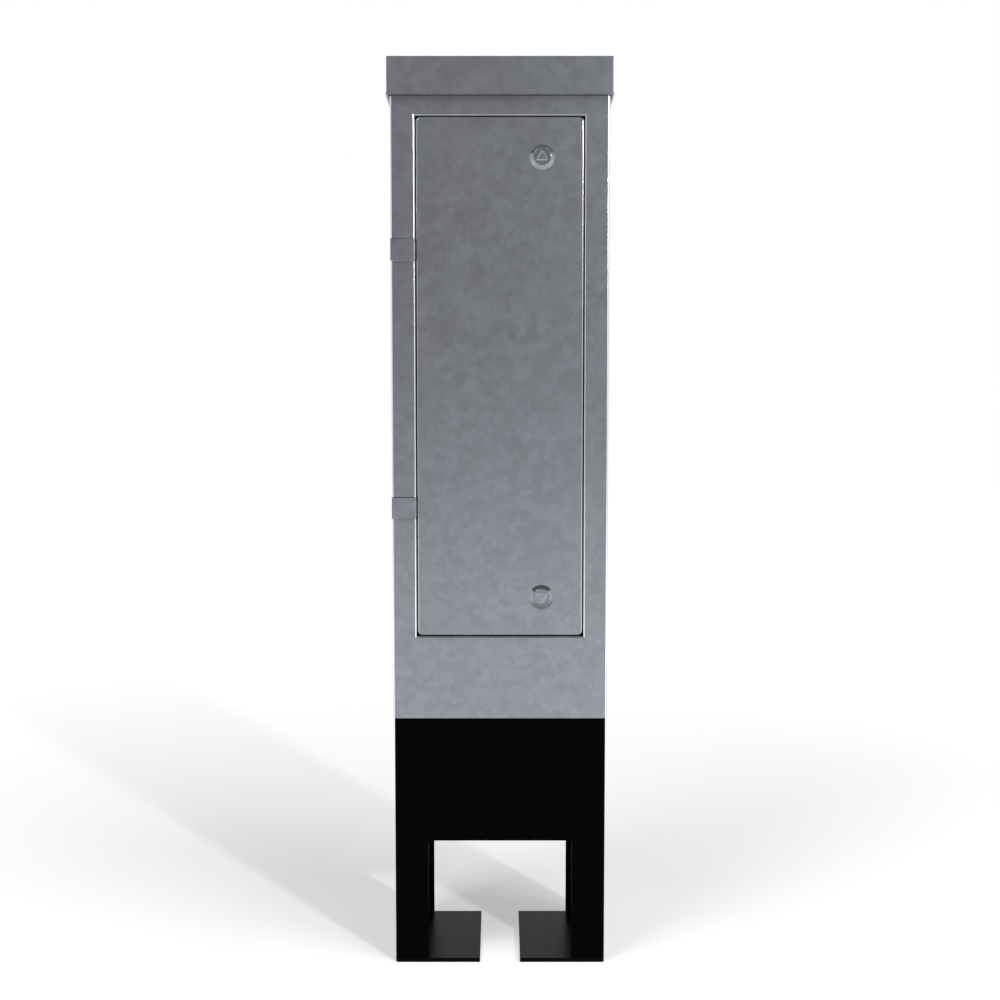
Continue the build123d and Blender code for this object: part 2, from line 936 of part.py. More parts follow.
def lock_spindle(level, point_up):
    """Triangular post, its disc and the shaft that carries the cam."""
    turn = 90 if point_up else -90
    outline = RegularPolygon(post_circumradius, 3, rotation=turn)
    outline = fillet(outline.vertices(), post_corner)
    outline = Plane.XZ.offset(-post_front) * Pos(lock_x, level) * outline
    post = extrude(outline, post_rise, dir=(0, 1, 0))
    post = chamfer(post.faces().sort_by(Axis.Y)[0].edges(), post_edge)
    spindle = post + rod_y(post_disc_radius, lock_x, level, disc_front, disc_back)
    spindle += rod_y(spindle_radius, lock_x, level, disc_back, cam_front)
    half = cam_square / 2
    spindle += block(lock_x - half, lock_x + half, cam_front, cam_back, level - half, level + half)
    end = cam_back + nut_height + spindle_end
    return spindle + rod_y(stud_radius, lock_x, level, cam_back, end)


def lock_cam(level, direction):
    """Flat cam; direction is 1 for a cam that hangs upwards when released, -1 for downwards."""
    half = cam_width / 2
    tip = level + direction * (cam_length - half)
    cam = rod_y(half, lock_x, level, cam_front, cam_back)
    cam += rod_y(half, lock_x, tip, cam_front, cam_back)
    cam += block(lock_x - half, lock_x + half, cam_front, cam_back, level, tip)
    hole = cam_square / 2 + seat_gap
    return cam - block(
        lock_x - hole, lock_x + hole, cam_front - 1, cam_back + 1, level - hole, level + hole
    )


def cam_nut(level):
    place = Pos(lock_x, cam_back + nut_height / 2, level) * Rot(90, 0, 0)
    return place * nut(nut_flats, nut_height, stud_radius)


# Backboard and what is fixed to it


def board_stud_places():
    x = board_half - board_stud_inset
    low = board_bottom + board_stud_inset
    high = board_top - board_stud_inset
    return [(-x, low), (x, low), (-x, high), (x, high)]


def backboard():
    """Plywood board that the equipment is screwed to."""
    board = block(-board_half, board_half, board_front, board_back, board_bottom, board_top)
    for x, z in board_stud_places():
        board -= rod_y(stud_radius + running_gap, x, z, board_front - 1, board_back + 1)
    return board


def board_studs():
    """Studs welded to the back panel."""
    end = board_front - washer_thickness - nut_height - board_stud_tail
    weld = inner_y - sheet / 2
    return [rod_y(stud_radius, x, z, end, weld) for x, z in board_stud_places()]


def board_spacers():
    """Tubes that hold the board off the back panel."""
    tubes = []
    for x, z in board_stud_places():
        tube = rod_y(spacer_tube_radius, x, z, board_back, board_back + board_standoff)
        hole = rod_y(stud_radius + running_gap, x, z, board_back - 1, inner_y)
        tubes.append(tube - hole)
    return tubes


def board_nuts():
    """Washers and nuts on the front of the board."""
    pieces = []
    for x, z in board_stud_places():
        washer = rod_y(washer_radius, x, z, board_front - washer_thickness, board_front)
        washer -= rod_y(stud_radius + seat_gap, x, z, board_front - 5, board_front + 1)
        place = Pos(x, board_front - washer_thickness - nut_height / 2, z) * Rot(90, 0, 0)
        pieces.append(washer)
        pieces.append(place * nut(nut_flats, nut_height, stud_radius))
    return pieces


def cutout_middle():
    """Height of the middle of the fuse carrier."""
    return cutout_bottom + cutout_height - carrier_below_top - carrier_height / 2


def cutout_base():
    """Moulded base of the service cut-out, open at the front for the carrier."""
    half = cutout_width / 2
    face = board_front - cutout_depth
    base = block(
        cutout_x - half,
        cutout_x + half,
        face,
        board_front,
        cutout_bottom,
        cutout_bottom + cutout_height,
    )
    base = fillet(base.edges().filter_by(Axis.Y), cutout_edge)
    base = fillet(base.faces().sort_by(Axis.Y)[0].edges(), cutout_edge / 2)
    pocket_x = carrier_width / 2 + carrier_gap
    pocket_z = carrier_height / 2 + carrier_gap
    middle = cutout_middle()
    floor = face + carrier_depth
    base -= block(
        cutout_x - pocket_x,
        cutout_x + pocket_x,
        face - 1,
        floor,
        middle - pocket_z,
        middle + pocket_z,
    )
    for side in (-1, 1):
        z = middle + side * blade_spread / 2
        base -= block(
            cutout_x - jaw_width / 2,
            cutout_x + jaw_width / 2,
            floor - 1,
            floor + jaw_depth,
            z - jaw_width / 2,
            z + jaw_width / 2,
        )
    entry_y = board_front - cutout_depth / 2
    entry_top = cutout_bottom + cutout_entry_depth
    return base - rod_z(cutout_entry_radius, cutout_x, entry_y, cutout_bottom - 1, entry_top)


def cutout_jaws():
    """Sprung contact clips at the bottom of the cut-out's pocket."""
    floor = board_front - cutout_depth + carrier_depth
    clips = []
    for side in (-1, 1):
        z = cutout_middle() + side * blade_spread / 2
        half = jaw_width / 2
        clip = block(
            cutout_x - half,
            cutout_x + half,
            floor,
            floor + jaw_depth,
            z - blade_thickness / 2 - running_gap - jaw_thickness,
            z + blade_thickness / 2 + running_gap + jaw_thickness,
        )
        clip -= block(
            cutout_x - half - 1,
            cutout_x + half + 1,
            floor - 1,
            floor + jaw_depth - jaw_thickness,
            z - blade_thickness / 2 - running_gap,
            z + blade_thickness / 2 + running_gap,
        )
        clips.append(clip)
    return clips


def fuse_carrier():
    """Pull-out carrier with a waisted grip and a trough behind for the fuse."""
    face = board_front - cutout_depth
    middle = cutout_middle()
    back = face + carrier_depth - carrier_gap
    half = carrier_width / 2
    body = block(
        cutout_x - half,
        cutout_x + half,
        face,
        back,
        middle - carrier_height / 2,
        middle + carrier_height / 2,
    )
    tip = face - grip_projection
    low = middle - grip_height / 2
    high = middle + grip_height / 2
    waist_end = face - grip_projection / 2
    grip = prism_xy(
        [
            (cutout_x - grip_waist, face),
            (cutout_x - grip_waist, waist_end),
            (cutout_x - grip_tip_half, tip),
            (cutout_x + grip_tip_half, tip),
            (cutout_x + grip_waist, waist_end),
            (cutout_x + grip_waist, face),
        ],
        low,
        high,
    )
    grip = fillet(grip.edges().group_by(Axis.Y)[0], grip_round)
    body += grip
    trough = Pos(cutout_x, back, middle) * Cylinder(
        fuse_radius + running_gap, fuse_length + 2 * running_gap
    )
    return body - trough


def carrier_blades():
    """Blades that carry the fuse and plug into the jaws."""
    face = board_front - cutout_depth
    back = face + carrier_depth - carrier_gap
    blades = []
    for side in (-1, 1):
        z = cutout_middle() + side * blade_spread / 2
        blades.append(
            block(
                cutout_x - blade_width / 2,
                cutout_x + blade_width / 2,
                back,
                back + jaw_depth - jaw_thickness - running_gap,
                z - blade_thickness / 2,
                z + blade_thickness / 2,
            )
        )
    return blades


def service_fuse():
    """Cartridge fuse in the carrier's trough, with its end caps."""
    back = board_front - cutout_depth + carrier_depth - carrier_gap
    middle = cutout_middle()
    upper = Plane.XZ.offset(-back)
    cartridge = Pos(cutout_x, back, middle) * Cylinder(fuse_radius - fuse_cap_proud, fuse_length)
    for side in (-1, 1):
        z = middle + side * (fuse_length - fuse_cap_length) / 2
        cartridge += Pos(cutout_x, back, z) * Cylinder(fuse_radius, fuse_cap_length)
    return split(cartridge, bisect_by=upper, keep=Keep.TOP)


def terminal_bar(x, z):
    """Brass bar with a row of terminal holes."""
    y0 = board_front - bar_post_length - bar_thickness
    half = bar_length / 2
    edge = bar_height / 2
    bar = block(x - half, x + half, y0, y0 + bar_thickness, z - edge, z + edge)
    bar = chamfer(bar.edges().filter_by(Axis.X), bar_edge)
    for place in bar_hole_places(x):
        bar -= rod_z(bar_hole_radius, place, y0 + bar_thickness / 2, z - bar_height, z + bar_height)
    return bar


def bar_hole_places(x):
    first = x - bar_hole_pitch * (bar_hole_count - 1) / 2
    return [first + bar_hole_pitch * i for i in range(bar_hole_count)]


def terminal_screws(x, z):
    """Clamping screws in the front of a terminal bar."""
    y0 = board_front - bar_post_length - bar_thickness
    head_front = y0 - screw_head_height
    slot_floor = head_front + slot_depth_share * screw_head_height
    half = bar_slot / 2
    screws = []
    for place in bar_hole_places(x):
        head = rod_y(screw_radius, place, z, head_front, y0)
        left = place - screw_radius
        right = place + screw_radius
        screws.append(head - block(left, right, head_front - 1, slot_floor, z - half, z + half))
    return screws


def bar_posts(x, z):
    """Insulating posts that hold a terminal bar off the board."""
    reach = bar_length / 2 - bar_post_radius
    posts = []
    for side in (-1, 1):
        place = Pos(x + side * reach, board_front - bar_post_length / 2, z) * Rot(90, 0, 0)
        posts.append(place * hexagon(2 * bar_post_radius, bar_post_length))
    return posts


def din_rail():
    """Top-hat rail on the board."""
    hat = rail_hat / 2
    edge = rail_height / 2
    points = [
        (board_front, -hat),
        (board_front, hat),
        (rail_flange_back, hat),
        (rail_flange_back, edge),
        (rail_flange_front, edge),
        (rail_flange_front, hat - rail_sheet),
        (board_front - rail_sheet, hat - rail_sheet),
        (board_front - rail_sheet, -hat + rail_sheet),
        (rail_flange_front, -hat + rail_sheet),
        (rail_flange_front, -edge),
        (rail_flange_back, -edge),
        (rail_flange_back, -hat),
    ]
    rail = prism_yz([(y, rail_z + z) for y, z in points], -rail_half, rail_half)
    for x in rail_screw_places():
        rail -= rod_y(screw_radius + seat_gap, x, rail_z, board_front - 2, board_front + 1)
    return rail


def rail_screw_places():
    reach = rail_half - end_stop_width
    return (-reach, reach)


def rail_screws():
    screws = []
    face = board_front - rail_sheet
    for x in rail_screw_places():
        head = rod_y(screw_head_radius, x, rail_z, face - screw_head_height, face)
        screws.append(head + rod_y(screw_radius, x, rail_z, face, board_front))
    return screws


def hooked_section(height, front_y):
    """Side outline of a device that clips over the rail's flanges."""
    back = rail_flange_back + module_hook_depth
    edge = rail_height / 2 + module_gap
    throat = rail_hat / 2 + rail_throat_gap
    half = height / 2
    slot_front = rail_flange_front - module_gap
    slot_back = rail_flange_back + module_gap
    return [
        (front_y, half),
        (back, half),
        (back, throat),
        (slot_back, throat),
        (slot_back, edge),
        (slot_front, edge),
        (slot_front, -edge),
        (slot_back, -edge),
        (slot_back, -throat),
        (back, -throat),
        (back, -half),
        (front_y, -half),
    ]


def device_body(x0, width, lever_x, lever_width):
    """Moulded case of a modular device with a stepped nose and a pocket for its lever."""
    outline = hooked_section(module_height, module_shoulder_front)
    points = [(y, rail_z + z) for y, z in outline]
    case = prism_yz(points, x0 + module_gap / 2, x0 + width - module_gap / 2)
    nose = module_nose_height / 2
    case += block(
        x0 + module_gap / 2,
        x0 + width - module_gap / 2,
        module_nose_front,
        module_shoulder_front,
        rail_z - nose,
        rail_z + nose,
    )
    case = fillet(case.faces().sort_by(Axis.Y)[0].edges().filter_by(Axis.X), module_edge)
    half = lever_width / 2 + running_gap
    case -= block(
        lever_x - half,
        lever_x + half,
        module_nose_front - 1,
        lever_axis_y + lever_radius + lever_pocket_floor_gap,
        rail_z - lever_pocket_half_height,
        rail_z + lever_pocket_half_height,
    )
    bore = lever_width / 2 + running_gap + trunnion_length
    case -= rod_x(trunnion_radius + seat_gap, lever_axis_y, rail_z, lever_x - bore, lever_x + bore)
    for i in range(max(1, round(width / module_width))):
        middle = x0 + module_width * (i + 0.5)
        for side in (-1, 1):
            case -= terminal_openings(middle, side)
    return case


def terminal_openings(x, side):
    """Screw hole in a device's shoulder and the wire mouth in its end."""
    face = module_shoulder_front
    z = rail_z + side * (module_nose_height / 2 + terminal_from_nose)
    hole = rod_y(terminal_screw_radius, x, z, face - 1, face + terminal_screw_depth)
    half = terminal_mouth / 2
    y = face + terminal_setback
    edge = rail_z + side * module_height / 2
    mouth_floor = edge - side * terminal_mouth_depth
    return hole + block(x - half, x + half, y - half, y + half, mouth_floor, edge + side)


def lever(lever_x, lever_width):
    """Rocking lever with a drum, two trunnions and a finger bar, at rest tilted up."""
    half = lever_width / 2
    drum = rod_x(lever_radius, lever_axis_y, rail_z, lever_x - half, lever_x + half)
    reach = half + trunnion_length - seat_gap * 4
    drum += rod_x(trunnion_radius, lever_axis_y, rail_z, lever_x - reach, lever_x + reach)
    bar = block(-half, half, -lever_reach, 0, -lever_thickness / 2, lever_thickness / 2)
    bar = fillet(bar.edges().filter_by(Axis.X).group_by(Axis.Y)[0], lever_thickness * 0.4)
    return drum + Pos(lever_x, lever_axis_y, rail_z) * Rot(-lever_tilt, 0, 0) * bar


def rcd_button_z():
    return rail_z - module_nose_height / 2 + (module_nose_height / 2 - lever_pocket_half_height) / 2


def test_button(x):
    """Square push button beside the safety switch's lever."""
    half = button_size / 2
    z = rcd_button_z()
    button = block(
        x - half,
        x + half,
        module_nose_front - button_proud,
        module_nose_front + button_depth,
        z - half,
        z + half,
    )
    return fillet(button.edges().filter_by(Axis.Y), button_corner)


def with_button_pocket(case, x):
    """Cuts the square hole that the push button slides in."""
    half = button_size / 2 + running_gap / 2
    z = rcd_button_z()
    depth = module_nose_front + button_depth + button_travel_room
    return case - block(x - half, x + half, module_nose_front - 1, depth, z - half, z + half)


def rail_end_stop(x0):
    """Clamp that keeps the devices together on the rail."""
    outline = hooked_section(end_stop_height, rail_flange_front - end_stop_depth)
    points = [(y, rail_z + z) for y, z in outline]
    stop = prism_yz(points, x0, x0 + end_stop_width)
    return fillet(stop.faces().sort_by(Axis.Y)[0].edges().filter_by(Axis.X), module_edge)


def cabinet_earth_stud():
    """Earthing stud with its nut on the right-hand side wall near the gland plate."""
    z = root_top + earth_stud_above_root
    stud = rod_x(stud_radius, 0, z, inner_x - stud_length, inner_x)
    place = Pos(inner_x - nut_height / 2, 0, z) * Rot(0, 90, 0)
    return [stud, place * nut(nut_flats, nut_height, stud_radius)]


def build_nodes():
    """Every node's name and its solid or list of solids."""
    right_foot = foot_plate()
    isolator_x = device_row_start
    rcd_x = isolator_x + 2 * module_width
    breaker_x = rcd_x + 2 * module_width
    row_end = breaker_x + breaker_count * module_width
    upper_hinge, lower_hinge = hinge_levels
    upper_lock, lower_lock = lock_levels
    isolator_lever_x = isolator_x + module_width
    rcd_lever_x = rcd_x + module_width
    rcd_case = device_body(rcd_x, 2 * module_width, rcd_lever_x, lever_width_double)
    nodes = {
        "root_frame": root_frame(),
        "foot_plate_right": right_foot,
        "foot_plate_left": mirror(right_foot, Plane.YZ),
        "shell_studs": root_studs() + cap_studs(),
        "shell_nuts": root_nuts() + cap_nuts(),
        "gland_plate": gland_plate(),
        "gland_screws": gland_screws(),
        "cable_grommets": cable_grommets(),
        "body_wrap": body_wrap(),
        "back_panel": back_panel(),
        "back_skirt": back_skirt(),
        "back_rivets": back_rivets(),
        "door_stop": door_stop(),
        "door_seal": door_seal(),
        "top_frame": top_frame(),
        "roof_cap": roof_cap(),
        "roof_seal": roof_seal(),
        "hinge_blocks": [hinge_block(upper_hinge), hinge_block(lower_hinge)],
        "hinge_pins": [hinge_pin(upper_hinge), hinge_pin(lower_hinge)],
        "hinge_washers": hinge_washers(),
        "cabinet_earth_stud": cabinet_earth_stud(),
        "backboard": backboard(),
        "board_studs": board_studs(),
        "board_spacers": board_spacers(),
        "board_nuts": board_nuts(),
        "cutout_base": cutout_base(),
        "cutout_jaws": cutout_jaws(),
        "earth_bar": terminal_bar(bar_x, earth_bar_z),
        "neutral_bar": terminal_bar(bar_x, neutral_bar_z),
        "terminal_screws": terminal_screws(bar_x, earth_bar_z)
        + terminal_screws(bar_x, neutral_bar_z),
        "terminal_bar_posts": bar_posts(bar_x, earth_bar_z)
        + bar_posts(bar_x, neutral_bar_z),
        "din_rail": din_rail(),
        "rail_screws": rail_screws(),
        "rail_end_stops": [
            rail_end_stop(isolator_x - end_stop_width),
            rail_end_stop(row_end),
        ],
        "isolator_body": device_body(
            isolator_x, 2 * module_width, isolator_lever_x, lever_width_double
        ),
        "rcd_body": with_button_pocket(rcd_case, rcd_lever_x),
        "door_panel": door_panel(),
        "door_stiffener": door_stiffener(),
        "hinge_strap_upper": hinge_strap(upper_hinge),
        "hinge_strap_lower": hinge_strap(lower_hinge),
        "hinge_spacers": hinge_spacers(),
        "strap_rivets": strap_rivets(),
        "door_earth_stud": door_earth_stud(),
        "lock_body_upper": lock_body(upper_lock),
        "lock_body_lower": lock_body(lower_lock),
        "lock_nuts": [lock_nut(upper_lock), lock_nut(lower_lock)],
        "lock_spindle_upper": [lock_spindle(upper_lock, True), cam_nut(upper_lock)],
        "lock_spindle_lower": [lock_spindle(lower_lock, False), cam_nut(lower_lock)],
        "lock_cam_upper": lock_cam(upper_lock, -1),
        "lock_cam_lower": lock_cam(lower_lock, 1),
        "fuse_carrier": fuse_carrier(),
        "carrier_blades": carrier_blades(),
        "service_fuse": service_fuse(),
        "isolator_lever": lever(isolator_lever_x, lever_width_double),
        "rcd_lever": lever(rcd_lever_x, lever_width_double),
        "rcd_test_button": test_button(rcd_lever_x),
    }
    for i in range(breaker_count):
        x0 = breaker_x + i * module_width
        middle = x0 + module_width / 2
        nodes[f"breaker_body_{i + 1}"] = device_body(x0, module_width, middle, lever_width_single)
        nodes[f"breaker_lever_{i + 1}"] = lever(middle, lever_width_single)
    return nodes


os.makedirs("parts", exist_ok=True)
for name, solids in build_nodes().items():
    shape = Compound(children=solids) if isinstance(solids, list) else solids
    export_step(shape, f"parts/{name}.step")
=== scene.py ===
"""Looks of the feeder pillar: finishes, studio floor, lamps and camera.

Metres, in the frame's axes: the door faces -Y and Z is up.
"""

import json
import math

import bpy
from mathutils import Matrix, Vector

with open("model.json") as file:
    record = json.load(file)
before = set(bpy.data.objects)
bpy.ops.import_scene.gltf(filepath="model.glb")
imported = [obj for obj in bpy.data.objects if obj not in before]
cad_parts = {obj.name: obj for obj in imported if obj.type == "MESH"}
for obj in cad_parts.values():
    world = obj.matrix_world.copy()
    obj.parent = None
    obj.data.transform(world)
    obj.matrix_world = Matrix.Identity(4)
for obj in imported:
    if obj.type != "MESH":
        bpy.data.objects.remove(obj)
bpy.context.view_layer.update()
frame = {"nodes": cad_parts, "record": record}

# Camera
CAMERA_FROM_FRONT = 2.221
ROOT_FRONT = -0.098
CAMERA_HEIGHT = 0.8547
CAMERA_PITCH = math.radians(5.005)
SENSOR_WIDTH = 36.0
FOCAL_LENGTH = 57.84

# Lamps, with degrees to the right of the door's front and degrees up
LAMPS = {
    "key": {"azimuth": 31, "elevation": 22, "distance": 5.5, "size": 0.3, "power": 105.0},
    "fill": {"azimuth": -37, "elevation": 50, "distance": 4.0, "size": 1.6, "power": 38.5},
    "top": {"azimuth": 44, "elevation": 62, "distance": 4.0, "size": 1.8, "power": 38.0},
}
# A lamp whose image in the cones of the locks would be too bright
NOT_MIRRORED = ["top"]

# Surroundings: white low down and dark overhead when seen or mirrored, weak when they light things
WHITE = (1.0, 1.0, 1.0, 1.0)
AMBIENT = 0.05
CEILING_FROM = math.radians(22)
CEILING_TO = math.radians(40)
CEILING_TONE = 0.06

# Dark screen behind the camera, leaning forward, which only shows in reflections
FLAG_LEFT = -4.5
FLAG_RIGHT = 3.5
FLAG_FOOT = -6.0
FLAG_HEAD = -4.0
FLAG_HEIGHT = 7.0
FLAG_COLOUR = (0.92, 0.96, 1.0, 1.0)
FLAG_TONE = 0.05

# Floor, whose glow is weaker near the feet, so that the shadow stays
FLOOR_SIZE = 40.0
FLOOR_TONE = 0.98
FLOOR_GLOW_NEAR = 0.45
FLOOR_GLOW_FAR = 0.95
FLOOR_GLOW_FROM = 0.4
FLOOR_GLOW_TO = 3.0

# Noise levels between which a finish goes from its dark to its light colour
DARK_LEVEL = 0.3
LIGHT_LEVEL = 0.7

# Galvanised sheet, with its spangles, cloud and grain as features per metre
ZINC_DARK = (0.249, 0.257, 0.2885)
ZINC_LIGHT = (0.304, 0.314, 0.352)
ZINC_METALLIC = 0.61
ZINC_ROUGHNESS = 0.30
ZINC_IOR = 1.3
SPANGLE_WOBBLE_SCALE = 170.0
SPANGLE_WOBBLE = 0.009
FINE_SPANGLES = 105.0
FINE_STEP = (0.42, 0.58)
FINE_SHARE = 0.40
BROAD_SPANGLES = 58.0
BROAD_STEP = (0.40, 0.60)
BROAD_SHARE = 0.26
SPECKLE_SHARE = 0.12
CLOUD_SCALE = 7.0
CLOUD_CONTRAST = 0.55
CLOUD_SHARE = 0.22
SPANGLE_ROUGHNESS = 0.03
GRAIN_ROUGHNESS = 0.02
GRAIN_SCALE = 1400.0
GRAIN_DEPTH = 0.0002
FLOW_SCALE = 45.0
FLOW_DEPTH = 0.0005
ZINC_RELIEF = 0.05

# Bends and edges, found where two parts of the surface normal are both large, get a painted
# highlight: a lighter colour, full metal and less roughness
BODY_BEND_HIGHLIGHT_COLOUR = (0.70, 0.71, 0.74)
DOOR_BEND_HIGHLIGHT_COLOUR = (0.48, 0.49, 0.52)
STRAP_EDGE_HIGHLIGHT_COLOUR = (0.30, 0.31, 0.34)
BEND_ROUGHNESS = 0.20
HIGHLIGHT_MASK_FROM = 0.06
HIGHLIGHT_MASK_TO = 0.22

# Locks, whose slanted faces differ from the flat ones; POST is the triangular post, whose slanted
# edges carry a nearly white painted highlight
LOCK_SLANT = {
    "dark": (0.29, 0.30, 0.33),
    "light": (0.34, 0.35, 0.38),
    "metallic": 0.82,
    "roughness": 0.13,
}
# Nearly white slanted edges of the post: a painted highlight
POST_SLANT_HIGHLIGHT = {
    "dark": (0.90, 0.91, 0.94),
    "light": (0.95, 0.96, 0.98),
    "metallic": 0.70,
    "roughness": 0.45,
}
SLANTED_BELOW = 0.90
FLAT_ABOVE = 0.98
LOCK_CLOUD_SCALE = 60.0
LOCK_GRAIN_SCALE = 300.0
LOCK_GRAIN_DEPTH = 0.0002
LOCK_RELIEF = 0.02

# Black paint of the root; the level foot plates shine a little more
ROOT_DARK = (0.0003, 0.0003, 0.0004)
ROOT_LIGHT = (0.0007, 0.0007, 0.0009)
ROOT_IOR = 1.085
FOOT_IOR = 1.13
ROOT_CLOUD_SCALE = 14.0
BRUSH_SCALE = 45.0
BRUSH_ROUGHNESS = (0.30, 0.38)
PAINT_GRAIN_SCALE = 420.0
PAINT_GRAIN_DEPTH = 0.0003
PAINT_RELIEF = 0.05

# Metal hardware: dark colour, light colour, roughness
METALS = {
    "zinc_hardware": ((0.46, 0.47, 0.49), (0.58, 0.59, 0.61), 0.34),
    "aluminium_plate": ((0.60, 0.61, 0.62), (0.70, 0.71, 0.72), 0.38),
    "brass": ((0.60, 0.42, 0.16), (0.74, 0.55, 0.24), 0.28),
}
CAST_SCALE = 220.0
CAST_CONTRAST = 0.6
SMEAR_SCALE = 550.0
SMEAR_SMOOTHER = 0.05
SMEAR_ROUGHER = 0.06
TOOL_MARK_SCALE = 1100.0
TOOL_MARK_DEPTH = 0.0002
TOOL_MARK_RELIEF = 0.04

# Plastic, rubber and ceramic: dark colour, light colour, roughness, texture features per metre
MOULDINGS = {
    "black_rubber": ((0.012, 0.012, 0.012), (0.02, 0.02, 0.02), 0.7, 900.0),
    "foam_seal": ((0.014, 0.014, 0.015), (0.024, 0.024, 0.025), 0.85, 500.0),
    "black_moulding": ((0.016, 0.016, 0.017), (0.03, 0.03, 0.032), 0.38, 900.0),
    "grey_moulding": ((0.50, 0.51, 0.50), (0.58, 0.59, 0.58), 0.46, 900.0),
    "dark_lever": ((0.02, 0.024, 0.03), (0.032, 0.036, 0.042), 0.30, 900.0),
    "button_blue": ((0.02, 0.08, 0.30), (0.03, 0.11, 0.36), 0.30, 900.0),
    "fuse_ceramic": ((0.70, 0.68, 0.62), (0.80, 0.78, 0.72), 0.35, 900.0),
}
MOULDING_CLOUD_SCALE = 30.0
MOULDING_SHEEN_SCALE = 120.0
MOULDING_SHEEN = 0.05
MOULDING_DEPTH = 0.0002
MOULDING_RELIEF = 0.12

# Plywood, with its grain drawn out along the board
PLY_COLOURS = [(0.25, (0.36, 0.22, 0.11)), (0.5, (0.52, 0.35, 0.19)), (0.8, (0.62, 0.45, 0.27))]
PLY_FIBRE_COLOUR = (0.30, 0.18, 0.09)
PLY_ACROSS = 3.0
PLY_GRAIN_ALONG = 0.28
PLY_FIBRE_ALONG = 0.10
PLY_GRAIN_SCALE = 22.0
PLY_FIBRE_SCALE = 160.0
PLY_CONTRAST = 0.6
PLY_SWIRL = 1.2
PLY_FIBRE_SHARE = 0.35
PLY_ROUGHNESS = (0.38, 0.55)
PLY_DEPTH = 0.0004
PLY_RELIEF = 0.12


class Tree:
    """Short calls for building a node tree."""

    def __init__(self, tree):
        self.tree = tree

    def add(self, kind, **options):
        """Adds a node and sets its options."""
        node = self.tree.nodes.new(kind)
        for name, value in options.items():
            setattr(node, name, value)
        return node

    def feed(self, socket, value):
        """Links an output to a socket, or sets the socket to a plain value."""
        if isinstance(value, bpy.types.NodeSocket):
            self.tree.links.new(value, socket)
        else:
            socket.default_value = value

    def fill(self, node, values):
        """Feeds named or numbered inputs of a node."""
        for socket, value in values.items():
            self.feed(node.inputs[socket], value)
        return node

    def calculate(self, operation, a, b=0.0):
        node = self.add("ShaderNodeMath", operation=operation)
        return self.fill(node, {0: a, 1: b}).outputs[0]

    def weighted(self, *parts):
        """Sum of values, each given with its weight."""
        first, *others = [self.calculate("MULTIPLY", value, weight) for value, weight in parts]
        total = first
        for other in others:
            total = self.calculate("ADD", total, other)
        return total

    def remap(self, value, low, high, from_low=0.0, from_high=1.0, interpolation="LINEAR"):
        """Turns from_low into low and from_high into high, with no change past them."""
        node = self.add("ShaderNodeMapRange", interpolation_type=interpolation)
        old = {"Value": value, "From Min": from_low, "From Max": from_high}
        new = {"To Min": low, "To Max": high}
        return self.fill(node, {**old, **new}).outputs["Result"]

    def seen_directly(self):
        """1 for camera, glossy and transmission rays, 0 for the rays that light the object."""
        rays = self.add("ShaderNodeLightPath").outputs
        seen = self.calculate("MAXIMUM", rays["Is Camera Ray"], rays["Is Glossy Ray"])
        return self.calculate("MAXIMUM", seen, rays["Is Transmission Ray"])

    def glow(self, colour, strength):
        node = self.add("ShaderNodeEmission")
        return self.fill(node, {"Color": colour, "Strength": strength}).outputs["Emission"]

    def show(self, shader):
        """Makes this shader the material's surface."""
        self.fill(self.add("ShaderNodeOutputMaterial"), {"Surface": shader})


